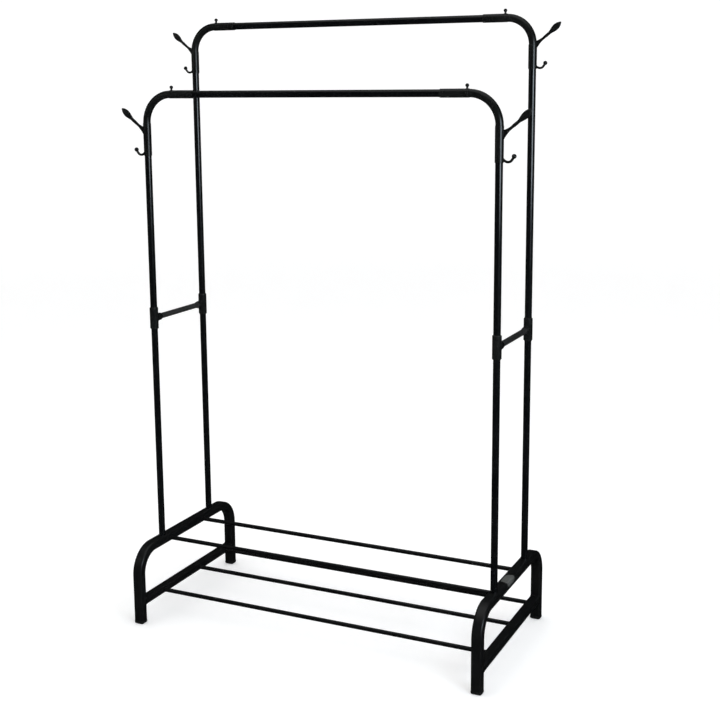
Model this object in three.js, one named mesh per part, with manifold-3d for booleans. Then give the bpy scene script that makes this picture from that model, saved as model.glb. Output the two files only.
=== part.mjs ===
// Free-standing double garment rail: steel tubes, moulded connectors and a five-rod shelf.
// Millimetres, +Z up. X runs along the rails, -Y is the front, the origin is on the floor at the centre.
import * as THREE from 'three';
import { mergeVertices } from 'three/addons/utils/BufferGeometryUtils.js';
import Module from 'manifold-3d';

const wasm = await Module();
wasm.setup();

// ---- Driving dimensions ----
const GAP = 0.3;                 // clearance between pieces that touch
const ROUND = 16;                // facets around a round tube

const FRAME_X = 513;             // from the centre to each end frame
const POLE_Y = 128;              // from the centre to the front and back poles
const LEG_Y = 249;               // from the centre to the legs' centre lines

const BAR_Z = 212;               // centre line of the bow's top bar
const BAR_WIDTH = 29.4;          // bow tube across X
const BAR_DEPTH = 26;            // bow tube in the plane of the bow
const BAR_CORNER = 6;
const BAR_WALL = 1.5;
const BOW_RADIUS = 68;           // bend of the bow's centre line

const CROSSBAR_Z = 62;
const CROSSBAR_WIDTH = 28;
const CROSSBAR_DEPTH = 20.5;
const CROSSBAR_CORNER = 5;

const PLUG_SOLE = 8;             // visible height of a foot plug
const PLUG_CHAMFER = 3;
const PLUG_LIP = 0.6;            // how far the plug stands proud of its leg
const PLUG_STEM = 20;

const ROD_RADIUS = 6;
const ROD_WALL = 0.9;
const ROD_STUD_LENGTH = 22;
const UPPER_ROD_Z = 209;
const UPPER_RODS = { upper_front: -102, upper_back: 74 };
const LOWER_RODS = { lower_front: -144, lower_middle: 47, lower_back: 204 };

const LOWER_POLE_RADIUS = 9.25;
const UPPER_POLE_RADIUS = 9.6;
const TUBE_WALL = 1.2;
const SPIGOT_LENGTH = 42;

const TEE_Z = 873;
const TEE_LENGTH = 63;
const TEE_RADIUS = 12.1;
const TEE_CHAMFER = 2.2;
const TEE_STOP = 4;              // web in the middle that both poles stop against
const BRANCH_REACH = 29;         // from the pole's axis to the mouth of the branch
const BRANCH_RADIUS = 10.6;
const BRANCH_ROOT_RADIUS = 14;    // the branch flares above and below where it leaves the sleeve
const BRANCH_DEPTH = 13;         // how far a tie goes into the branch
const TIE_RADIUS = 8;

const SLEEVE_RADIUS = 11.1;      // elbow's end sleeves
const ARC_RADIUS = 10.3;         // elbow's curved part
const ARC_BORE = 7.6;
const ARC_STEPS = 8;
const OVERLAP = 2;               // run of the bend that is buried in each sleeve
const SLEEVE_CHAMFER = 0.8;
const SOCKET_STOP = 6;           // solid left between a sleeve's socket and the bend

// Each side's rail: height of its centre line, and the elbows that carry it.
const FRONT = { railZ: 1500, bend: 78, sleeve: 77, drop: 168, hookScale: 1 };
const BACK = { railZ: 1690, bend: 69, sleeve: 67, drop: 131, hookScale: 0.9 };

// ---- Materials ----
function finish(color, roughness, metalness) {
  return new THREE.MeshStandardMaterial({ color, roughness, metalness });
}
const steelBlack = () => finish(0x101315, 0.35, 0.4);
const plasticBlack = () => finish(0x0e0f10, 0.5, 0);

const group = new THREE.Group();

function add(name, geometry, material) {
  const mesh = new THREE.Mesh(geometry, material);
  mesh.name = name;
  group.add(mesh);
  return mesh;
}

// ---- Solids ----
function toSolid(geometry) {
  const bare = geometry.clone();
  bare.deleteAttribute('normal');
  bare.deleteAttribute('uv');
  const merged = mergeVertices(bare, 1e-4);
  return new wasm.Manifold(new wasm.Mesh({
    numProp: 3,
    vertProperties: new Float32Array(merged.attributes.position.array),
    triVerts: new Uint32Array(merged.index.array),
  }));
}

function toGeometry(solid) {
  const mesh = solid.getMesh();
  const geometry = new THREE.BufferGeometry();
  geometry.setAttribute('position', new THREE.BufferAttribute(new Float32Array(mesh.vertProperties), 3));
  geometry.setIndex(new THREE.BufferAttribute(new Uint32Array(mesh.triVerts), 1));
  geometry.computeVertexNormals();
  return geometry;
}

function join(...geometries) {
  return geometries.map(toSolid).reduce((all, next) => all.add(next));
}

// A path given by its stations, so that straight runs take no steps and bends take even ones.
class StationPath extends THREE.Curve {
  constructor(stations) {
    super();
    this.stations = stations;
  }
  station(t) {
    return this.stations[Math.round(t * (this.stations.length - 1))];
  }
  getPoint(t, target = new THREE.Vector3()) {
    return target.copy(this.station(t).point);
  }
  getTangent(t, target = new THREE.Vector3()) {
    return target.copy(this.station(t).tangent);
  }
  getUtoTmapping(u) {
    return u;
  }
}

// Rounds the corners of a line through the given points, each corner with its own radius.
function bentPath(points, radius, steps) {
  const stations = [{ point: points[0], tangent: points[1].clone().sub(points[0]).normalize() }];
  for (let i = 1; i < points.length - 1; i += 1) {
    const into = points[i].clone().sub(points[i - 1]).normalize();
    const out = points[i + 1].clone().sub(points[i]).normalize();
    const turn = into.angleTo(out);
    const setback = radius * Math.tan(turn / 2);
    const start = points[i].clone().addScaledVector(into, -setback);
    const inward = out.clone().addScaledVector(into, -out.dot(into)).normalize();
    for (let k = 0; k <= steps; k += 1) {
      const angle = (turn * k) / steps;
      const point = start.clone()
        .addScaledVector(into, radius * Math.sin(angle))
        .addScaledVector(inward, radius * (1 - Math.cos(angle)));
      const tangent = into.clone().multiplyScalar(Math.cos(angle))
        .addScaledVector(inward, Math.sin(angle));
      stations.push({ point, tangent });
    }
  }
  const last = points.length - 1;
  const end = points[last].clone().sub(points[last - 1]).normalize();
  stations.push({ point: points[last], tangent: end });
  return new StationPath(stations);
}

function curvedPath(curve, steps) {
  const stations = [];
  for (let k = 0; k <= steps; k += 1) {
    stations.push({ point: curve.getPoint(k / steps), tangent: curve.getTangent(k / steps) });
  }
  return new StationPath(stations);
}

function sweep(shape, path) {
  return new THREE.ExtrudeGeometry(shape, { steps: path.stations.length - 1, extrudePath: path });
}

function circleShape(radius, hole = 0, facets = ROUND) {
  const shape = new THREE.Shape(ringPoints(radius, facets));
  if (hole > 0) {
    shape.holes.push(new THREE.Path(ringPoints(hole, facets)));
  }
  return shape;
}

function ringPoints(radius, facets) {
  const points = [];
  for (let k = 0; k < facets; k += 1) {
    const angle = (2 * Math.PI * k) / facets;
    points.push(new THREE.Vector2(radius * Math.cos(angle), radius * Math.sin(angle)));
  }
  return points;
}

function roundedBox(width, height, corner, facets = 3) {
  const points = [];
  const quarters = [[1, 1], [-1, 1], [-1, -1], [1, -1]];
  quarters.forEach(([sx, sy], quarter) => {
    for (let k = 0; k <= facets; k += 1) {
      const angle = (Math.PI / 2) * (quarter + k / facets);
      points.push(new THREE.Vector2(
        sx * (width / 2 - corner) + corner * Math.cos(angle),
        sy * (height / 2 - corner) + corner * Math.sin(angle),
      ));
    }
  });
  return points;
}

function roundedTube(width, height, corner, wall) {
  const shape = new THREE.Shape(roundedBox(width, height, corner));
  shape.holes.push(new THREE.Path(roundedBox(width - 2 * wall, height - 2 * wall, corner - wall)));
  return shape;
}

function vec(x, y, z) {
  return new THREE.Vector3(x, y, z);
}

function straight(shape, from, to) {
  return sweep(shape, new StationPath([from, to].map((point) => ({
    point,
    tangent: to.clone().sub(from).normalize(),
  }))));
}

// Vertex radius of a faceted bore whose flats clear a tube of the given radius.
function boreFor(radius) {
  return (radius + GAP) / Math.cos(Math.PI / ROUND);
}

// Turned solid along Z from a profile of [radius, z] points that starts and ends on the axis.
function turned(profile, facets = ROUND) {
  return new THREE.LatheGeometry(profile.map(([r, z]) => new THREE.Vector2(r, z)), facets)
    .rotateX(Math.PI / 2);
}

function turnedAlong(profile, base, direction, facets = ROUND) {
  const geometry = turned(profile, facets);
  const turn = new THREE.Quaternion().setFromUnitVectors(vec(0, 0, 1), direction);
  return geometry.applyQuaternion(turn).translate(base.x, base.y, base.z);
}

function rod(radius, length, base, direction, facets = ROUND) {
  return turnedAlong([[0, 0], [radius, 0], [radius, length], [0, length]], base, direction, facets);
}

function ball(radius, centre) {
  return new THREE.SphereGeometry(radius, 10, 6).translate(centre.x, centre.y, centre.z);
}

// ---- Base ----
const BOW_FOOT = PLUG_SOLE + GAP;

function baseBow(x) {
  const points = [
    vec(x, -LEG_Y, BOW_FOOT),
    vec(x, -LEG_Y, BAR_Z),
    vec(x, LEG_Y, BAR_Z),
    vec(x, LEG_Y, BOW_FOOT),
  ];
  return sweep(roundedTube(BAR_DEPTH, BAR_WIDTH, BAR_CORNER, BAR_WALL), bentPath(points, BOW_RADIUS, 7));
}

function crossbar(x) {
  const end = LEG_Y - BAR_DEPTH / 2 - GAP;
  const tube = roundedTube(CROSSBAR_DEPTH, CROSSBAR_WIDTH, CROSSBAR_CORNER, BAR_WALL);
  return straight(tube, vec(x, -end, CROSSBAR_Z), vec(x, end, CROSSBAR_Z));
}

function footPlug(x, y) {
  const width = BAR_WIDTH + 2 * PLUG_LIP;
  const depth = BAR_DEPTH + 2 * PLUG_LIP;
  const core = new THREE.Shape(roundedBox(
    width - 2 * PLUG_CHAMFER,
    depth - 2 * PLUG_CHAMFER,
    BAR_CORNER - PLUG_CHAMFER + PLUG_LIP,
  ));
  // A block with both edges chamfered, of which the lower half is kept.
  const block = new THREE.ExtrudeGeometry(core, {
    depth: 2 * (PLUG_SOLE - PLUG_CHAMFER),
    bevelSize: PLUG_CHAMFER,
    bevelThickness: PLUG_CHAMFER,
    bevelSegments: 1,
  }).translate(0, 0, PLUG_CHAMFER);
  const cutter = new THREE.BoxGeometry(2 * width, 2 * width, 2 * PLUG_SOLE)
    .translate(0, 0, 2 * PLUG_SOLE);
  const inset = 2 * (BAR_WALL + GAP);
  const stem = new THREE.ExtrudeGeometry(
    new THREE.Shape(roundedBox(BAR_WIDTH - inset, BAR_DEPTH - inset, BAR_CORNER - inset / 2)),
    { depth: PLUG_STEM, bevelEnabled: false },
  ).translate(0, 0, PLUG_SOLE - 1);
  const plug = toSolid(block).subtract(toSolid(cutter)).add(toSolid(stem));
  return toGeometry(plug).translate(x, y, 0);
}

function shelfRod(y, z, face) {
  const shape = circleShape(ROD_RADIUS, ROD_RADIUS - ROD_WALL, 12);
  return straight(shape, vec(-face, y, z), vec(face, y, z));
}

function rodStud(side, y, z, face) {
  const radius = ROD_RADIUS - ROD_WALL - 2 * GAP;
  return rod(radius, ROD_STUD_LENGTH, vec(side * face, y, z), vec(-side, 0, 0), 8);
}

// ---- Uprights ----
const BAR_TOP = BAR_Z + BAR_DEPTH / 2;
const TEE_BOTTOM = TEE_Z - TEE_LENGTH / 2;

function tubeShape(radius) {
  return circleShape(radius, radius - TUBE_WALL);
}

function lowerPole(x, y) {
  const top = TEE_Z - TEE_STOP / 2 - GAP;
  return straight(tubeShape(LOWER_POLE_RADIUS), vec(x, y, BAR_TOP + GAP), vec(x, y, top));
}

function spigot(x, y) {
  const radius = LOWER_POLE_RADIUS - TUBE_WALL - 2 * GAP;
  return rod(radius, SPIGOT_LENGTH, vec(x, y, BAR_TOP + GAP), vec(0, 0, 1));
}

function upperPole(x, y, rail) {
  const bottom = TEE_Z + TEE_STOP / 2 + GAP;
  const top = rail.railZ - rail.bend - SOCKET_STOP - GAP;
  return straight(tubeShape(UPPER_POLE_RADIUS), vec(x, y, bottom), vec(x, y, top));
}

// Sleeve with a branch that faces the other pole of the same side.
function tee(x, y) {
  const inward = vec(0, -Math.sign(y), 0);
  const body = turned([
    [0, 0],
    [TEE_RADIUS - TEE_CHAMFER, 0],
    [TEE_RADIUS, TEE_CHAMFER],
    [TEE_RADIUS, TEE_LENGTH - TEE_CHAMFER],
    [TEE_RADIUS - TEE_CHAMFER, TEE_LENGTH],
    [0, TEE_LENGTH],
  ]).translate(0, 0, TEE_BOTTOM);
  const branch = turnedAlong([
    [0, 0],
    [BRANCH_ROOT_RADIUS, 0],
    [BRANCH_ROOT_RADIUS, TEE_RADIUS - 2],
    [BRANCH_RADIUS - 0.6, 21],
    [BRANCH_RADIUS, 23],
    [BRANCH_RADIUS, BRANCH_REACH - 1],
    [BRANCH_RADIUS - 1, BRANCH_REACH],
    [0, BRANCH_REACH],
  ], vec(0, 0, TEE_Z), inward);
  const flankX = 2 * TEE_RADIUS - 1;
  const flanks = new THREE.BoxGeometry(flankX, 3 * BRANCH_REACH, TEE_LENGTH).translate(0, 0, TEE_Z);
  const half = (TEE_LENGTH - TEE_STOP) / 2;
  const up = vec(0, 0, 1);
  const lowerBore = rod(boreFor(LOWER_POLE_RADIUS), half + 1, vec(0, 0, TEE_BOTTOM - 1), up);
  const upperBore = rod(boreFor(UPPER_POLE_RADIUS), half + 1, vec(0, 0, TEE_Z + TEE_STOP / 2), up);
  const branchBase = inward.clone().multiplyScalar(BRANCH_REACH - BRANCH_DEPTH).setZ(TEE_Z);
  const branchBore = rod(boreFor(TIE_RADIUS), BRANCH_DEPTH + 1, branchBase, inward);
  const outside = toSolid(branch).intersect(toSolid(flanks)).add(toSolid(body));
  const solid = outside.subtract(join(lowerBore, upperBore, branchBore));
  return toGeometry(solid).translate(x, y, 0);
}

function sideTie(x) {
  const end = POLE_Y - BRANCH_REACH + BRANCH_DEPTH - GAP;
  return straight(tubeShape(TIE_RADIUS), vec(x, -end, TEE_Z), vec(x, end, TEE_Z));
}

// ---- Rails and elbows ----
function hangingRail(y, rail) {
  const end = FRAME_X - rail.bend - SOCKET_STOP - GAP;
  return straight(tubeShape(UPPER_POLE_RADIUS), vec(-end, y, rail.railZ), vec(end, y, rail.railZ));
}

function sleeveProfile(length) {
  return [
    [0, 0],
    [SLEEVE_RADIUS - SLEEVE_CHAMFER, 0],
    [SLEEVE_RADIUS, SLEEVE_CHAMFER],
    [SLEEVE_RADIUS, length - SLEEVE_CHAMFER],
    [SLEEVE_RADIUS - SLEEVE_CHAMFER, length],
    [0, length],
  ];
}

// Leaf-shaped hook: a ribbed root that narrows to a neck, then a pointed leaf. It lies in the XZ plane,
// with x outwards from the pole's axis and z up from the lower end of the sleeve.
const LEAF = {
  rootX: 8, rootLow: 50, rootHigh: 78, rootThickness: 6,
  neckX: 46, neckZ: 96, neckWidth: 5,
  tipX: 83, tipZ: 127, width: 19, thickness: 9,
};

function leafArm(s) {
  const shape = new THREE.Shape();
  const half = (LEAF.neckWidth / 2) * Math.SQRT1_2 * s;
  const neckX = LEAF.neckX * s;
  const neckZ = LEAF.neckZ * s;
  const rootHigh = LEAF.rootHigh * s;
  shape.moveTo(LEAF.rootX, LEAF.rootLow * s);
  shape.quadraticCurveTo(0.42 * neckX, 0.97 * rootHigh, neckX + half, neckZ - half);
  shape.lineTo(neckX - half, neckZ + half);
  shape.quadraticCurveTo(0.5 * neckX, 1.02 * rootHigh, LEAF.rootX, rootHigh);
  const arm = new THREE.ExtrudeGeometry(shape, {
    depth: LEAF.rootThickness * s, bevelEnabled: false, curveSegments: 4,
  });
  return arm.rotateX(Math.PI / 2).translate(0, LEAF.rootThickness * s / 2, 0);
}

function leafBlade(s) {
  const base = vec(LEAF.neckX * s, 0, LEAF.neckZ * s);
  const along = vec(LEAF.tipX * s, 0, LEAF.tipZ * s).sub(base);
  const length = along.length();
  // Half widths along the blade, as parts of the full half width.
  const outline = [[0, 0], [0.12, 0.42], [0.3, 0.84], [0.5, 1], [0.7, 0.86], [0.88, 0.46], [1, 0]];
  const start = -2;
  const profile = outline.map(([at, wide]) => [wide * LEAF.width * s / 2, start + at * (length - start)]);
  const blade = turned(profile, 8).scale(1, LEAF.thickness / LEAF.width, 1);
  const turn = new THREE.Quaternion().setFromUnitVectors(vec(0, 0, 1), along.normalize());
  return blade.applyQuaternion(turn).translate(base.x, 0, base.z);
}

// J hook with a ball end, from the lower end of the sleeve.
const J_HOOK = { wire: 2.4, ball: 5, points: [[8, 9], [14, 5], [21, 2.4], [29, 4], [35, 11], [38, 16.5]] };

function jHook(s) {
  const curve = new THREE.CatmullRomCurve3(J_HOOK.points.map(([x, z]) => vec(x * s, 0, z * s)));
  const wire = sweep(circleShape(J_HOOK.wire * s, 0, 8), curvedPath(curve, 8));
  const [x, z] = J_HOOK.points[J_HOOK.points.length - 1];
  return [wire, ball(J_HOOK.ball * s, vec(x * s, 0, z * s))];
}

const PEG = { inset: 6, radius: 1.9, height: 19.5, ball: 4.3 };

// Elbow at the right-hand end (x outwards), in its own frame: origin on the pole's axis at rail height.
function elbow(rail) {
  const { bend, sleeve, drop, hookScale } = rail;
  const cornerPath = (run) => bentPath(
    [vec(-bend - run, 0, 0), vec(0, 0, 0), vec(0, 0, -bend - run)],
    bend,
    ARC_STEPS,
  );
  const upright = turnedAlong(sleeveProfile(drop - bend), vec(0, 0, -drop), vec(0, 0, 1));
  const level = turnedAlong(sleeveProfile(sleeve), vec(-bend - sleeve, 0, 0), vec(1, 0, 0));
  const toSleeve = (geometry) => geometry.translate(0, 0, -drop);
  const pegBase = vec(-bend - PEG.inset, 0, 0);
  const pegTop = vec(pegBase.x, 0, PEG.height);
  const solid = join(
    sweep(circleShape(ARC_RADIUS), cornerPath(OVERLAP)),
    upright,
    level,
    toSleeve(leafArm(hookScale)),
    toSleeve(leafBlade(hookScale)),
    ...jHook(hookScale).map(toSleeve),
    rod(PEG.radius, PEG.height, pegBase, vec(0, 0, 1), 8),
    ball(PEG.ball, pegTop),
  );
  const socket = boreFor(UPPER_POLE_RADIUS);
  const bores = join(
    sweep(circleShape(ARC_BORE), cornerPath(2 * SOCKET_STOP)),
    rod(socket, drop - bend - SOCKET_STOP + 1, vec(0, 0, -drop - 1), vec(0, 0, 1)),
    rod(socket, sleeve - SOCKET_STOP + 1, vec(-bend - sleeve - 1, 0, 0), vec(1, 0, 0)),
  );
  return toGeometry(solid.subtract(bores));
}

// ---- Assembly ----
const SIDES = { left: -1, right: 1 };
const DEPTHS = { front: { sign: -1, rail: FRONT }, back: { sign: 1, rail: BACK } };
const barFace = FRAME_X - BAR_WIDTH / 2 - GAP;
const crossbarFace = FRAME_X - CROSSBAR_WIDTH / 2 - GAP;

for (const [side, sx] of Object.entries(SIDES)) {
  add(`${side}_base_bow`, baseBow(sx * FRAME_X), steelBlack());
  add(`${side}_crossbar`, crossbar(sx * FRAME_X), steelBlack());
  add(`${side}_side_tie`, sideTie(sx * FRAME_X), steelBlack());
  for (const [depth, { sign, rail }] of Object.entries(DEPTHS)) {
    const place = `${side}_${depth}`;
    const x = sx * FRAME_X;
    const y = sign * POLE_Y;
    add(`${place}_foot_plug`, footPlug(x, sign * LEG_Y), plasticBlack());
    add(`${place}_pole_spigot`, spigot(x, y), steelBlack());
    add(`${place}_lower_pole`, lowerPole(x, y), steelBlack());
    add(`${place}_tee`, tee(x, y), plasticBlack());
    add(`${place}_upper_pole`, upperPole(x, y, rail), steelBlack());
    const corner = add(`${place}_elbow`, elbow(rail), plasticBlack());
    corner.position.set(x, y, rail.railZ);
    corner.rotation.z = sx > 0 ? 0 : Math.PI;
  }
}

for (const [depth, { sign, rail }] of Object.entries(DEPTHS)) {
  add(`${depth}_rail`, hangingRail(sign * POLE_Y, rail), steelBlack());
}

function addShelf(rods, z, face) {
  for (const [name, y] of Object.entries(rods)) {
    add(`${name}_rod`, shelfRod(y, z, face), steelBlack());
    for (const [side, sx] of Object.entries(SIDES)) {
      add(`${name}_${side}_stud`, rodStud(sx, y, z, face), steelBlack());
    }
  }
}
addShelf(UPPER_RODS, UPPER_ROD_Z, barFace);
addShelf(LOWER_RODS, CROSSBAR_Z, crossbarFace);

export default group;
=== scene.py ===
"""Free-standing double garment rail: the detailed visual model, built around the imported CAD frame."""
import math

import bmesh
import bpy
from mathutils import Matrix, Vector


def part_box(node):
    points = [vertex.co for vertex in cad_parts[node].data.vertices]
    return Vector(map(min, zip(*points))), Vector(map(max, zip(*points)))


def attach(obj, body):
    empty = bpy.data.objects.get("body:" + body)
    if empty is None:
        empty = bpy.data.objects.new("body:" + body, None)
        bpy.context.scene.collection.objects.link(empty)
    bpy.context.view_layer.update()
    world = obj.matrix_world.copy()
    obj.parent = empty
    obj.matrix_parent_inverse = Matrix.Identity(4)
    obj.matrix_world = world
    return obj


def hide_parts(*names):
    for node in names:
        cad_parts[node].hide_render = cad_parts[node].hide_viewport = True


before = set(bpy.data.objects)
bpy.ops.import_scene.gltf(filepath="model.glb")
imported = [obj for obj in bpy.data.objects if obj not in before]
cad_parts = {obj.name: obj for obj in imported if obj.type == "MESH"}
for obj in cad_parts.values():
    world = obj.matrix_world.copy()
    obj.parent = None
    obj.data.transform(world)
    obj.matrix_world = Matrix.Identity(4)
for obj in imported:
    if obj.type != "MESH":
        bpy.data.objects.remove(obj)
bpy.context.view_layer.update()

MM = 0.001
X, Y, Z = Vector((1, 0, 0)), Vector((0, 1, 0)), Vector((0, 0, 1))
SIDES = {"left": -1, "right": 1}
DEPTHS = {"front": -1, "back": 1}

# ---- Sizes, in millimetres ----
TUBE_FACETS = 48
BEND_STEPS = 28
BAR_CORNER = 6
BAR_WALL = 1.5
BOW_RADIUS = 68           # bend of the bow's centre line
CROSSBAR_CORNER = 5
CROSSBAR_EMBED = 0.4      # the visual tubes close the CAD model's clearances
POLE_EMBED = 1.5
TUBE_WALL = 1.2
ROD_WALL = 0.9
EDGE = 0.5                # rounding of moulded edges

TEE_CHAMFER = 2.2
TEE_STOP = 4
TEE_BORE = 9.9
# Branch of the tee: [distance from the pole's axis, half width along X, half height along Z].
BRANCH = [[6, 11.2, 15.5], [9.5, 11.5, 14.8], [12, 11.5, 13.2], [15, 11.2, 12], [18, 10.8, 11],
          [21, 10.2, 10.2], [21.6, 10.3, 10.3], [22.2, 10.6, 10.6], [27.6, 10.6, 10.6],
          [28.4, 10.4, 10.4], [28.8, 10.1, 10.1], [29, 9.7, 9.7], [29, 8.8, 8.8], [28.7, 8.4, 8.4],
          [28.2, 8.3, 8.3], [17, 8.3, 8.3]]

SLEEVE_RADIUS = 11.1
ARC_RADIUS = 10.3
SOCKET = 9.9
OVERLAP = 3               # run of the bend that is buried in each sleeve
# Bend of the centre line, length of the level sleeve, rail axis to lower sleeve end, scale of the hooks.
ELBOWS = {"front": (78, 77, 168, 1.0), "back": (69, 67, 131, 0.9)}

# Leaf hook in the XZ plane: x outwards from the pole's axis, z up from the lower end of the sleeve.
ARM_LOW = [(8, 50), (20, 76), (47.3, 95.7)]
ARM_HIGH = [(8, 79), (22, 82), (43.7, 99.3)]
ARM_THICK = (3.8, 3.6)    # half thickness at the root and at the neck
ARM_STEPS, LEAF_STEPS = 14, 30
ROOT_FLARE = 1.5          # how much the arm's root spreads above and below
NECK, TIP = (45.5, 97.5), (82.5, 130.5)
NECK_WIDE = 4.4           # least half width of the arm
LEAF_WIDE, LEAF_THICK = 9.0, 4.4    # half sizes
J_POINTS = [(7, 9.6), (14, 5), (21, 2.4), (29, 4), (35, 11), (38, 16.5)]
J_WIRE, J_BALL = 3.3, 6.0           # radii
PEG_INSET, PEG_HEIGHT = 6, 19.0
PEG_RADIUS, PEG_BALL = 2.6, 4.8     # radii

PATCH_START, PATCH_END = -60, -2    # along the bow
PATCH_LIFT, PATCH_FILM = 0.15, 0.2
PATCH_STEPS = 24

# ---- Stage and camera, in metres and degrees ----
FLOOR_FLAT, FLOOR_CURVE, BACKDROP_HEIGHT = 7.0, 3.0, 10.0
FLOOR_TURNS, FLOOR_CURVE_STEPS = 96, 16
FLOOR_GLOW = 0.20
WORLD_SEEN, WORLD_REFLECTED = 0.7, 0.01
CAMERA_PLACE = (1.49763, -3.01772, 1.52085)
CAMERA_YAW, CAMERA_PITCH, CAMERA_ROLL = 25.24, 10.10, -0.43
CAMERA_LENS, CAMERA_SHIFT = 61.98, -0.075


# ---- Mesh building ----
class Skin:
    """Vertices and faces of one piece in metres, with a wear value for each vertex."""

    def __init__(self):
        self.verts, self.wear, self.faces = [], [], []

    def ring(self, points, wear=0.0):
        first = len(self.verts)
        self.verts += [Vector(p) for p in points]
        self.wear += [wear] * len(points)
        return list(range(first, len(self.verts)))

    def bridge(self, a, b):
        count = len(a)
        for i in range(count):
            j = (i + 1) % count
            self.faces.append((a[i], a[j], b[j], b[i]))

    def cap(self, ring):
        centre = sum((self.verts[i] for i in ring), Vector()) / len(ring)
        hub = self.ring([centre])[0]
        for i, v in enumerate(ring):
            self.faces.append((v, ring[(i + 1) % len(ring)], hub))

    def loft(self, rings, wears=None):
        made = []
        for k, points in enumerate(rings):
            made.append(self.ring(points, wears[k] if wears else 0.0))
            if k:
                self.bridge(made[-2], made[-1])
        self.cap(made[0])
        self.cap(made[-1])


def skin_mesh(name, skin, material):
    """Blender mesh of a skin, with its faces turned outwards and its wear as an attribute."""
    mesh = bpy.data.meshes.new(name)
    mesh.from_pydata(skin.verts, [], skin.faces)
    wear = mesh.attributes.new("wear", "FLOAT", "POINT")
    wear.data.foreach_set("value", skin.wear)
    work = bmesh.new()
    work.from_mesh(mesh)
    bmesh.ops.recalc_face_normals(work, faces=work.faces)
    work.to_mesh(mesh)
    work.free()
    mesh.shade_smooth()
    mesh.materials.append(material)
    return mesh


def build(name, skin, material, slot, *nodes, smooth=34):
    """Makes the piece, rides it on the frame and lets it stand for the CAD nodes given."""
    mesh = skin_mesh(name, skin, material)
    mesh.set_sharp_from_angle(angle=math.radians(smooth))
    piece = bpy.data.objects.new(f"{name}_detailed" if nodes else name, mesh)
    bpy.context.scene.collection.objects.link(piece)
    weighted = piece.modifiers.new("weighted normals", "WEIGHTED_NORMAL")
    weighted.keep_sharp = True
    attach(piece, "root")
    if nodes:
        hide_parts(*nodes)
    return piece


def circle(radius, facets=TUBE_FACETS):
    """Outline as a function of how far it is inset, in millimetres."""
    turns = [2 * math.pi * k / facets for k in range(facets)]
    return lambda inset=0: [((radius - inset) * math.cos(t), (radius - inset) * math.sin(t)) for t in turns]


def rounded_rectangle(width, height, corner, facets=8):
    def outline(inset=0):
        points = []
        r = max(corner - inset, 0.3)
        for quarter, (sx, sy) in enumerate([(1, 1), (-1, 1), (-1, -1), (1, -1)]):
            for k in range(facets + 1):
                t = math.pi / 2 * (quarter + k / facets)
                points.append((sx * (width / 2 - inset - r) + r * math.cos(t),
                               sy * (height / 2 - inset - r) + r * math.sin(t)))
        return points
    return outline


def section(place, side, up, outline):
    """Outline points in millimetres set at a place, along its side and up directions."""
    return [place + side * (a * MM) + up * (b * MM) for a, b in outline]


def bent_path(points, radius, steps=BEND_STEPS):
    """Points and directions along a line whose corners are rounded, in metres."""
    path = [(points[0], (points[1] - points[0]).normalized())]
    for before, corner, after in zip(points, points[1:], points[2:]):
        into, out = (corner - before).normalized(), (after - corner).normalized()
        turn = into.angle(out)
        start = corner - into * radius * math.tan(turn / 2)
        inward = (out - into * out.dot(into)).normalized()
        for k in range(steps + 1):
            t = turn * k / steps
            path.append((start + into * radius * math.sin(t) + inward * radius * (1 - math.cos(t)),
                         into * math.cos(t) + inward * math.sin(t)))
    path.append((points[-1], (points[-1] - points[-2]).normalized()))
    return path


def smooth_path(points, steps=6):
    """Points and directions along a smooth curve through the given points."""
    ends = [points[0] * 2 - points[1], *points, points[-1] * 2 - points[-2]]
    places = []
    for a, b, c, d in zip(ends, ends[1:], ends[2:], ends[3:]):
        for k in range(steps):
            t = k / steps
            places.append(0.5 * (2 * b + (c - a) * t + (2 * a - 5 * b + 4 * c - d) * t * t
                                 + (3 * b - a - 3 * c + d) * t ** 3))
    places.append(points[-1])
    path = []
    for k, place in enumerate(places):
        before, after = places[max(k - 1, 0)], places[min(k + 1, len(places) - 1)]
        path.append((place, (after - before).normalized()))
    return path


def sweep(skin, path, side, outline, bore=None):
    """Solid or hollow bar along a path in a plane that side is square to."""
    outer = [skin.ring(section(p, side, d.cross(side), outline())) for p, d in path]
    for a, b in zip(outer, outer[1:]):
        skin.bridge(a, b)
    if bore is None:
        skin.cap(outer[0])
        skin.cap(outer[-1])
        return
    inner = [skin.ring(section(p, side, d.cross(side), bore())) for p, d in path]
    for a, b in zip(inner, inner[1:]):
        skin.bridge(b, a)
    skin.bridge(inner[0], outer[0])
    skin.bridge(outer[-1], inner[-1])


def lathe(skin, profile, base, direction, facets=TUBE_FACETS):
    """Turned solid from [radius, height, wear] in millimetres, whose first and last rings are capped."""
    side = direction.orthogonal().normalized()
    up = direction.cross(side)
    rings = [section(base + direction * (row[1] * MM), side, up, circle(row[0], facets)()) for row in profile]
    skin.loft(rings, [row[2] if len(row) > 2 else 0.0 for row in profile])


def rounded_end(radius, height, toward, rounding=EDGE, steps=4):
    """Profile rows of a rounded outside edge. toward is 1 for an edge at the far end and -1 for the near."""
    rows = []
    for k in range(steps + 1):
        t = math.pi / 2 * k / steps
        rows.append([radius - rounding * (1 - math.cos(t)),
                     height - toward * rounding * (1 - math.sin(t)), 1.0])
    return rows if toward > 0 else rows[::-1]


def node_centre(node):
    low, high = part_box(node)
    return (low + high) / 2


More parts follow.
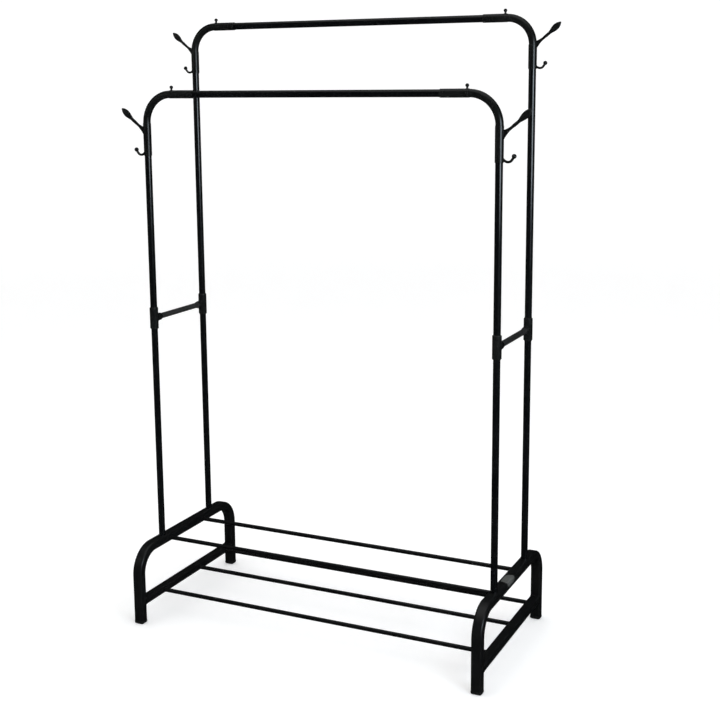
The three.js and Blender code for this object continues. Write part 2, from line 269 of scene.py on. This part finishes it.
# ---- Materials ----
class Finish:
    """A procedural finish: colour mottle, dust on top, wear along edges, uneven gloss and fine relief."""

    def __init__(self, name, base, pale, gloss, grain, relief, coat=0.0, worn=(0.2, 0.2, 0.2), wear=0.5,
                 gleam=0.5):
        self.material = bpy.data.materials.new(name)
        self.material.use_nodes = True
        self.nodes = self.material.node_tree.nodes
        self.links = self.material.node_tree.links
        self.shader = self.nodes["Principled BSDF"]
        self.place = self.nodes.new("ShaderNodeTexCoord").outputs["Object"]
        mottle = self.noise(9, 4, 0.55)
        colour = self.mix(self.spread(mottle, 0.3, 0.7, 0, 1), base, pale)
        patches = self.spread(self.noise(55, 5, 0.7), 0.45, 0.75, 0.1, 0.75)
        dust = self.math("MULTIPLY", self.upward(), patches)
        colour = self.mix(dust, colour, [c * 1.6 + 0.003 for c in pale])
        chips = self.spread(self.noise(420, 3, 0.6), 0.5, 0.72, 0, wear)
        rubbed = self.math("MULTIPLY", self.attribute("wear"), chips)
        colour = self.mix(rubbed, colour, worn)
        self.links.new(colour, self.shader.inputs["Base Color"])
        low, high = gloss
        cloud = self.math("ADD", self.spread(self.noise(14, 3, 0.5), 0.3, 0.7, low, high),
                          self.math("MULTIPLY", dust, 0.12))
        self.links.new(cloud, self.shader.inputs["Roughness"])
        self.relief(grain, relief)
        self.shader.inputs["Coat Weight"].default_value = coat
        self.shader.inputs["Coat Roughness"].default_value = 0.12
        self.shader.inputs["Specular IOR Level"].default_value = gleam

    def noise(self, scale, detail, roughness):
        node = self.nodes.new("ShaderNodeTexNoise")
        node.inputs["Scale"].default_value = scale
        node.inputs["Detail"].default_value = detail
        node.inputs["Roughness"].default_value = roughness
        self.links.new(self.place, node.inputs["Vector"])
        return node.outputs["Fac"]

    def spread(self, value, low, high, to_low, to_high):
        node = self.nodes.new("ShaderNodeMapRange")
        node.interpolation_type = "SMOOTHSTEP"
        for name, number in zip(("From Min", "From Max", "To Min", "To Max"), (low, high, to_low, to_high)):
            node.inputs[name].default_value = number
        self.links.new(value, node.inputs["Value"])
        return node.outputs["Result"]

    def mix(self, factor, a, b):
        node = self.nodes.new("ShaderNodeMix")
        node.data_type = "RGBA"
        self.links.new(factor, node.inputs["Factor"])
        for key, value in ((6, a), (7, b)):
            if isinstance(value, bpy.types.NodeSocket):
                self.links.new(value, node.inputs[key])
            else:
                node.inputs[key].default_value = (*value[:3], 1)
        return node.outputs[2]

    def math(self, operation, a, b):
        node = self.nodes.new("ShaderNodeMath")
        node.operation = operation
        for key, value in enumerate((a, b)):
            if isinstance(value, bpy.types.NodeSocket):
                self.links.new(value, node.inputs[key])
            else:
                node.inputs[key].default_value = value
        return node.outputs[0]

    def attribute(self, name):
        node = self.nodes.new("ShaderNodeAttribute")
        node.attribute_name = name
        return node.outputs["Fac"]

    def upward(self):
        """1 where the surface faces up, 0 on the sides and below."""
        split = self.nodes.new("ShaderNodeSeparateXYZ")
        self.links.new(self.nodes.new("ShaderNodeNewGeometry").outputs["Normal"], split.inputs[0])
        return self.spread(split.outputs["Z"], 0.55, 0.98, 0, 1)

    def relief(self, grain, depth):
        fine = self.noise(grain, 2, 0.5)
        soft = self.math("MULTIPLY", self.noise(grain / 6, 2, 0.5), 1.6)
        bump = self.nodes.new("ShaderNodeBump")
        bump.inputs["Strength"].default_value = 0.5
        bump.inputs["Distance"].default_value = depth * MM
        self.links.new(self.math("ADD", fine, soft), bump.inputs["Height"])
        self.links.new(bump.outputs["Normal"], self.shader.inputs["Normal"])


STEEL_WORN = (0.16, 0.16, 0.165)
PLASTIC_WORN = (0.075, 0.077, 0.077)
base_steel = Finish("base powder coat", (0.0030, 0.0035, 0.0037), (0.0055, 0.0060, 0.0062),
                    (0.3, 0.4), 900, 0.10, coat=0.1, worn=STEEL_WORN).material
tube_steel = Finish("tube gloss coat", (0.0018, 0.0022, 0.0026), (0.0036, 0.0041, 0.0047),
                    (0.15, 0.21), 800, 0.04, coat=0.12, worn=STEEL_WORN).material
rod_steel = Finish("rod powder coat", (0.0022, 0.0024, 0.0026), (0.0042, 0.0045, 0.0047),
                   (0.26, 0.36), 900, 0.06, coat=0.1, worn=STEEL_WORN).material
# Side tie coat: its base colour is several times paler than the other tube coats. That is painted top light,
# standing in for the light that falls on the tie from above; only its satin roughness is its own.
tie_coat_painted_toplight = Finish("tie satin coat with painted top light", (0.016, 0.0165, 0.0165), (0.024, 0.0245, 0.0245),
                   (0.42, 0.52), 1100, 0.10, worn=STEEL_WORN).material
stud_steel = Finish("stud primer", (0.02, 0.02, 0.021), (0.032, 0.032, 0.034),
                    (0.5, 0.62), 1500, 0.08, worn=STEEL_WORN).material
connector_plastic = Finish("connector moulding", (0.0038, 0.0044, 0.0043), (0.0070, 0.0078, 0.0075),
                           (0.22, 0.30), 2400, 0.04, worn=PLASTIC_WORN, wear=0.3, gleam=0.42).material
foot_plastic = Finish("foot moulding", (0.004, 0.004, 0.004), (0.0075, 0.0075, 0.0075),
                      (0.5, 0.64), 2000, 0.09, worn=PLASTIC_WORN, wear=0.45).material
patch_film = Finish("blank film", (0.045, 0.048, 0.045), (0.10, 0.104, 0.10),
                    (0.35, 0.5), 700, 0.06, worn=(0.3, 0.3, 0.3)).material


# ---- Base ----
def base_bow(side):
    """Bent rectangular tube that makes both legs and the top bar of one end."""
    node = f"{side}_base_bow"
    low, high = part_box(node)
    width = (high.x - low.x) / MM
    leg = node_centre(f"{side}_back_foot_plug").y
    depth = (high.y - leg) * 2 / MM
    x, top = (low.x + high.x) / 2, high.z - depth * MM / 2
    corners = [Vector((x, y, z)) for y, z in ((-leg, low.z), (-leg, top), (leg, top), (leg, low.z))]
    skin = Skin()
    outline = rounded_rectangle(width, depth, BAR_CORNER)
    sweep(skin, bent_path(corners, BOW_RADIUS * MM), X, outline, lambda: outline(BAR_WALL))
    build(node, skin, base_steel, "base_steel", node)


def crossbar(side):
    """Square tube welded between the legs."""
    node = f"{side}_crossbar"
    low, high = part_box(node)
    centre = (low + high) / 2
    reach = Y * ((high.y - low.y) / 2 + CROSSBAR_EMBED * MM)
    path = [(centre - reach, Y), (centre + reach, Y)]
    size = (high - low) / MM
    outline = rounded_rectangle(size.x, size.z, CROSSBAR_CORNER)
    skin = Skin()
    sweep(skin, path, X, outline, lambda: outline(BAR_WALL))
    build(node, skin, base_steel, "base_steel", node)
    for depth, sign in DEPTHS.items():
        face = Vector((centre.x, sign * high.y, centre.z))
        weld_bead(f"{side}_{depth}_crossbar_weld", face, sign, outline)


def weld_bead(name, face, sign, outline, bead=0.9):
    """Thin rippled bead around the end of a crossbar, against its leg."""
    skin = Skin()
    edge, middle = outline(0), outline(BAR_WALL)
    count = len(edge)
    rings = []
    for k in range(8):
        turn = 2 * math.pi * k / 8
        points = []
        for i, (a, b) in enumerate(edge):
            size = bead * (1 + 0.16 * math.sin(i * 2.4) + 0.08 * math.sin(i * 5.1))
            out = Vector((a - middle[i][0], b - middle[i][1])).normalized()
            shift = size * math.cos(turn)
            along = -sign * size * (0.25 + math.sin(turn))
            points.append(face + Vector(((a + out.x * shift) * MM, along * MM, (b + out.y * shift) * MM)))
        rings.append(skin.ring(points))
    for k in range(8):
        skin.bridge(rings[k], rings[(k + 1) % 8])
    build(name, skin, base_steel, "base_steel", smooth=80)


def foot_plug(side, depth):
    """Moulded plug whose chamfered sole shows under the leg."""
    node = f"{side}_{depth}_foot_plug"
    low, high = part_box(node)
    size = (high - low) / MM
    outline = rounded_rectangle(size.x, size.y, BAR_CORNER + 0.6)
    profile = [[3.9, 0, 0], [3.3, 0.05, 0.5], [2.8, 0.3, 1], [0.6, 2.5, 1], [0.2, 3.0, 1], [0, 3.5, 0.3],
               [0, 7.3, 0.2], [0.15, 7.7, 1], [0.5, 7.95, 1], [2.4, 8.0, 0], [2.5, 8.2, 0],
               [2.6, size.z - 0.5, 0], [3.1, size.z, 0]]
    centre = (low + high) / 2
    rings = [section(Vector((centre.x, centre.y, z * MM)), X, Y, outline(inset)) for inset, z, _ in profile]
    skin = Skin()
    skin.loft(rings, [row[2] for row in profile])
    build(node, skin, foot_plastic, "foot_plastic", node)


def straight_tube(node, material, slot, axis, wall, embed_low=0.0, embed_high=0.0):
    """Round tube in place of a straight CAD tube, a little longer where it meets another piece."""
    low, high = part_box(node)
    centre = (low + high) / 2
    half = (high - low).dot(axis) / 2
    radius = (high - low).dot(Y if axis.y < 0.5 else X) / 2 / MM
    start, end = centre - axis * (half + embed_low * MM), centre + axis * (half + embed_high * MM)
    skin = Skin()
    outline = circle(radius, TUBE_FACETS if radius > 7 else 32)
    sweep(skin, [(start, axis), (end, axis)], axis.orthogonal().normalized(), outline, lambda: outline(wall))
    build(node, skin, material, slot, node)


def blank_patch():
    """Plain film wrapped over the top and outer side of the right bow, with no marks on it."""
    low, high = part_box("right_base_bow")
    width = (high.x - low.x) / 2 / MM
    across = [(width - 23 + k * 2.2, 0.0) for k in range(8)]
    corner = [(width - BAR_CORNER + BAR_CORNER * math.sin(t), BAR_CORNER * (math.cos(t) - 1))
              for t in (math.pi / 12 * k for k in range(7))]
    down = [(width, -BAR_CORNER - k * 1.6) for k in range(1, 6)]
    path = [p for p in across if p[0] < width - BAR_CORNER - 0.3] + corner + down
    skin = Skin()
    rows = []
    centre_x = (low.x + high.x) / 2
    for i, (a, b) in enumerate(path):
        u = 2 * i / (len(path) - 1) - 1
        round_off = 12 * (1 - math.sqrt(max(1 - u * u, 0)))
        length = PATCH_END - PATCH_START - 2 * round_off
        rows.append([Vector((centre_x + (a + PATCH_LIFT * (a > width - 3)) * MM,
                             (PATCH_START + round_off + length * k / PATCH_STEPS) * MM,
                             high.z + (b + PATCH_LIFT) * MM)) for k in range(PATCH_STEPS + 1)])
    index = [skin.ring(row) for row in rows]
    for a, b in zip(index, index[1:]):
        for k in range(PATCH_STEPS):
            skin.faces.append((a[k], a[k + 1], b[k + 1], b[k]))
    piece = build("right_bow_blank_patch", skin, patch_film, "base_steel", smooth=60)
    solid = piece.modifiers.new("thickness", "SOLIDIFY")
    solid.thickness = PATCH_FILM * MM
    solid.offset = 0


# ---- Uprights ----
def tee(side, depth):
    """Sleeve that joins the lower and upper pole, with a branch towards the other pole."""
    node = f"{side}_{depth}_tee"
    low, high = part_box(node)
    pole = node_centre(f"{side}_{depth}_lower_pole")
    base = Vector((pole.x, pole.y, low.z))
    length, radius = (high.z - low.z) / MM, (high.x - low.x) / 2 / MM
    slope = radius - TEE_CHAMFER
    mouth = [[TEE_BORE, 1.2, 0], [TEE_BORE + 0.15, 0.3, 0.4], [TEE_BORE + 0.4, 0, 0.6]]
    edge = [[slope - 0.25, 0, 0.8], [slope + 0.2, 0.15, 1], [radius - 0.35, TEE_CHAMFER - 0.4, 1],
            [radius - 0.08, TEE_CHAMFER, 1], [radius, TEE_CHAMFER + 0.5, 0.5], [radius, TEE_CHAMFER + 4, 0]]
    rise = (length - TEE_STOP) / 2
    lower = [[0.5, rise, 0], [TEE_BORE, rise, 0], *mouth, *edge]
    upper = [[r, length - z, w] for r, z, w in lower[::-1]]
    skin = Skin()
    lathe(skin, lower + upper, base, Z)
    inward = -Y * DEPTHS[depth]
    centre = base + Z * (length / 2 * MM)
    turns = [2 * math.pi * k / TUBE_FACETS for k in range(TUBE_FACETS)]
    rings = []
    for reach, wide, high in BRANCH:
        oval = [(wide * math.cos(t), high * math.sin(t)) for t in turns]
        rings.append(section(centre + inward * (reach * MM), X, Z, oval))
    skin.loft(rings, [1.0 if 28 < row[0] else 0.0 for row in BRANCH])
    build(node, skin, connector_plastic, "connector_plastic", node)


# ---- Elbows ----
def socket_sleeve(length):
    """Profile of a sleeve from its mouth to its closed end, where it steps down to the bend."""
    return [[0.5, length - 7, 0], [SOCKET, length - 7, 0], [SOCKET, 1, 0], [SOCKET + 0.2, 0.2, 0.6],
            *rounded_end(SLEEVE_RADIUS, 0, -1, 0.7), [SLEEVE_RADIUS, 5, 0],
            [SLEEVE_RADIUS, length - 5, 0], *rounded_end(SLEEVE_RADIUS, length, 1, 0.7),
            [ARC_RADIUS - 1, length, 0]]


def quadratic(points, t):
    a, b, c = (Vector(p) for p in points)
    return a * (1 - t) ** 2 + b * 2 * t * (1 - t) + c * t * t


def hook_sections(scale):
    """Sections of the leaf hook: (centre, half width along the hook's plane, half thickness, webbed)."""
    rows = []
    for k in range(ARM_STEPS + 1):
        t = k / ARM_STEPS
        low, high = quadratic(ARM_LOW, t), quadratic(ARM_HIGH, t)
        if k == 0:
            low, high = low - Vector((0, ROOT_FLARE)), high + Vector((0, ROOT_FLARE))
        spread = (high - low).normalized() * max(NECK_WIDE - (high - low).length / 2, 0)
        low, high = low - spread, high + spread
        thick = ARM_THICK[0] + (ARM_THICK[1] - ARM_THICK[0]) * t
        rows.append(((low + high) / 2, (high - low) / 2, thick, 1 - t))
    neck, tip = Vector(NECK), Vector(TIP)
    along = tip - neck
    across = Vector((-along.y, along.x)).normalized()
    for k in range(1, LEAF_STEPS + 1):
        t = k / LEAF_STEPS
        t = 1 - (1 - t) ** 1.35 if t > 0.5 else t + (1 - 0.5 ** 1.35 - 0.5) * 2 * t
        bulge = math.sin(math.pi * t ** 1.25) ** 0.72 if t < 1 else 0
        wide = math.hypot(LEAF_WIDE * bulge, NECK_WIDE * (1 - t) ** 2)
        thick = math.hypot(LEAF_THICK * bulge ** 0.8, ARM_THICK[1] * (1 - t) ** 2)
        rows.append((neck + along * t, across * max(wide, 0.25), max(thick, 0.2), -bulge))
    return [(c * scale, w * scale, thick * scale, web) for c, w, thick, web in rows]


def hook_outline(wide, thick, web, facets=28):
    """(part of the half width, thickness) around a section: webbed at the root, rimmed on the leaf."""
    points = []
    for k in range(facets):
        t = 2 * math.pi * k / facets
        u, v = math.cos(t), math.sin(t)
        body = thick * math.copysign(abs(v) ** 0.8, v)
        if web > 0:
            body *= 1 - 0.45 * web * max(0, 1 - (u / 0.75) ** 4)
        else:
            body *= 1 - 0.16 * -web * math.exp(-((abs(u) - 0.74) / 0.1) ** 2)
        points.append((u, body))
    return points


def elbow(side, depth):
    """Moulded corner with its two sleeves, the leaf hook, the J hook and the ball-topped peg."""
    node = f"{side}_{depth}_elbow"
    bend, level, drop, scale = ELBOWS[depth]
    out = X * SIDES[side]
    pole = node_centre(f"{side}_{depth}_upper_pole")
    rail = node_centre(f"{depth}_rail")
    corner = Vector((pole.x, pole.y, rail.z))

    def place(x, z, y=0.0):
        return corner + out * (x * MM) + Y * (y * MM) + Z * (z * MM)

    skin = Skin()
    lathe(skin, socket_sleeve(drop - bend), place(0, -drop), Z)
    lathe(skin, socket_sleeve(level), place(-bend - level, 0), out)
    arc = bent_path([place(-bend - OVERLAP, 0), place(0, 0), place(0, -bend - OVERLAP)], bend * MM, 32)
    sweep(skin, arc, Y, circle(ARC_RADIUS))

    rings = []
    for centre, half, thick, web in hook_sections(scale):
        rings.append([place(centre.x + half.x * u, centre.y + half.y * u - drop, v)
                      for u, v in hook_outline(half.length, thick, web)])
    skin.loft(rings)

    wire = smooth_path([place(x * scale, z * scale - drop) for x, z in J_POINTS])
    tapered = []
    for k, (p, d) in enumerate(wire):
        radius = J_WIRE * scale * (1 + 0.55 * max(0, 1 - k / 8) ** 2)
        tapered.append(section(p, Y, d.cross(Y), circle(radius, 20)()))
    skin.loft(tapered)
    x, z = J_POINTS[-1]
    ball(skin, place(x * scale, z * scale - drop), J_BALL * scale, wire[-1][1])

    stem = [[PEG_RADIUS + 1.6, SLEEVE_RADIUS - 1.2, 0], [PEG_RADIUS + 1.2, SLEEVE_RADIUS - 0.1, 0],
            [PEG_RADIUS + 0.4, SLEEVE_RADIUS + 0.7, 0], [PEG_RADIUS, SLEEVE_RADIUS + 1.6, 0],
            [PEG_RADIUS, PEG_HEIGHT - 2, 0]]
    lathe(skin, stem, place(-bend - PEG_INSET, 0), Z, 24)
    ball(skin, place(-bend - PEG_INSET, PEG_HEIGHT), PEG_BALL, Z)
    build(node, skin, connector_plastic, "connector_plastic", node)


def ball(skin, centre, radius, direction, rows=14):
    """Ball with a small flat where its mould gate was, on the side that direction points to."""
    profile = []
    for k in range(rows + 1):
        t = math.pi * (0.04 + 0.84 * k / rows)
        profile.append([radius * math.sin(t), -radius * math.cos(t), 0])
    profile.append([radius * math.sin(t) * 0.8, profile[-1][1] - radius * 0.05, 0])
    lathe(skin, profile, centre, direction, 28)


# ---- Stage ----
def stage():
    """Pale round floor that curves up into a backdrop on every side."""
    rows = [(0.5, 0.0), (3.0, 0.0), (FLOOR_FLAT - 0.5, 0.0), (FLOOR_FLAT, 0.0)]
    for k in range(1, FLOOR_CURVE_STEPS + 1):
        t = math.pi / 2 * k / FLOOR_CURVE_STEPS
        rows.append((FLOOR_FLAT + FLOOR_CURVE * math.sin(t), FLOOR_CURVE * (1 - math.cos(t))))
    rows.append((FLOOR_FLAT + FLOOR_CURVE, BACKDROP_HEIGHT))
    skin = Skin()
    rings = []
    turns = [2 * math.pi * k / FLOOR_TURNS for k in range(FLOOR_TURNS)]
    for radius, height in rows:
        rings.append(skin.ring([(radius * math.cos(t), radius * math.sin(t), height) for t in turns]))
    for low, high in zip(rings, rings[1:]):
        skin.bridge(low, high)
    skin.cap(rings[0])
    material = bpy.data.materials.new("pale floor")
    material.use_nodes = True
    shader = material.node_tree.nodes["Principled BSDF"]
    shader.inputs["Base Color"].default_value = (0.92, 0.92, 0.92, 1)
    shader.inputs["Roughness"].default_value = 0.85
    shader.inputs["Specular IOR Level"].default_value = 0.1
    shader.inputs["Emission Color"].default_value = (1, 1, 1, 1)
    shader.inputs["Emission Strength"].default_value = FLOOR_GLOW
    floor = bpy.data.objects.new("floor", skin_mesh("floor", skin, material))
    bpy.context.scene.collection.objects.link(floor)
    floor.visible_glossy = False


def softbox(name, place, target, size, power, colour=(1, 1, 1)):
    light = bpy.data.lights.new(name, "AREA")
    light.shape = "RECTANGLE"
    light.size, light.size_y = size
    light.energy = power
    light.color = colour
    lamp = bpy.data.objects.new(name, light)
    bpy.context.scene.collection.objects.link(lamp)
    lamp.location = place
    lamp.rotation_mode = "QUATERNION"
    lamp.rotation_quaternion = (Vector(target) - Vector(place)).to_track_quat("-Z", "Y")


def world_light(seen, reflected):
    """White backdrop, with dimmer surroundings for what the tubes mirror."""
    world = bpy.data.worlds.new("studio")
    bpy.context.scene.world = world
    world.use_nodes = True
    nodes, links = world.node_tree.nodes, world.node_tree.links
    background = nodes["Background"]
    paths = nodes.new("ShaderNodeLightPath")
    level = nodes.new("ShaderNodeMapRange")
    level.inputs["To Min"].default_value = seen
    level.inputs["To Max"].default_value = reflected
    links.new(paths.outputs["Is Glossy Ray"], level.inputs["Value"])
    links.new(level.outputs["Result"], background.inputs["Strength"])
    background.inputs["Color"].default_value = (1, 1, 1, 1)


def camera():
    data = bpy.data.cameras.new("camera")
    data.lens, data.shift_y = CAMERA_LENS, CAMERA_SHIFT
    data.clip_start, data.clip_end = 0.05, 60
    yaw, pitch, roll = (math.radians(a) for a in (CAMERA_YAW, CAMERA_PITCH, CAMERA_ROLL))
    ahead = Vector((-math.sin(yaw) * math.cos(pitch), math.cos(yaw) * math.cos(pitch), -math.sin(pitch)))
    right = ahead.cross(Z).normalized()
    up = right.cross(ahead)
    across = right * math.cos(roll) + up * math.sin(roll)
    over = up * math.cos(roll) - right * math.sin(roll)
    eye = bpy.data.objects.new("camera", data)
    bpy.context.scene.collection.objects.link(eye)
    eye.matrix_world = Matrix.Translation(CAMERA_PLACE) @ Matrix((across, over, -ahead)).transposed().to_4x4()
    bpy.context.scene.camera = eye


# ---- Assembly ----
camera()
stage()
world_light(WORLD_SEEN, WORLD_REFLECTED)
softbox("overhead", (0.2, -0.2, 4.2), (0, 0, 0.3), (4.2, 4.2), 30)
softbox("right key", (3.05, -1.65, 1.5), (0.3, 0, 1.45), (1.5, 1.1), 40, (0.80, 0.90, 1.0))
softbox("left fill", (-3.2, -2.6, 2.2), (0, 0, 0.9), (1.2, 1.8), 3)

for end in SIDES:
    base_bow(end)
    crossbar(end)
    # The side ties take the paler coat, whose base colour holds painted top light.
    straight_tube(f"{end}_side_tie", tie_coat_painted_toplight, "tube_steel", Y, TUBE_WALL)
    for row in DEPTHS:
        foot_plug(end, row)
        straight_tube(f"{end}_{row}_lower_pole", tube_steel, "tube_steel", Z, TUBE_WALL, POLE_EMBED)
        straight_tube(f"{end}_{row}_upper_pole", tube_steel, "tube_steel", Z, TUBE_WALL)
        tee(end, row)
        elbow(end, row)
for row in DEPTHS:
    straight_tube(f"{row}_rail", tube_steel, "tube_steel", X, TUBE_WALL)
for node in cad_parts:
    if node.endswith("_rod"):
        straight_tube(node, rod_steel, "rod_steel", X, ROD_WALL, CROSSBAR_EMBED, CROSSBAR_EMBED)
blank_patch()

# The inner studs and spigots are the CAD solids, with the primer finish.
for name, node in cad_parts.items():
    if not node.hide_render:
        node.data.materials.clear()
        node.data.materials.append(stud_steel)

bpy.context.scene.view_settings.view_transform = "Standard"
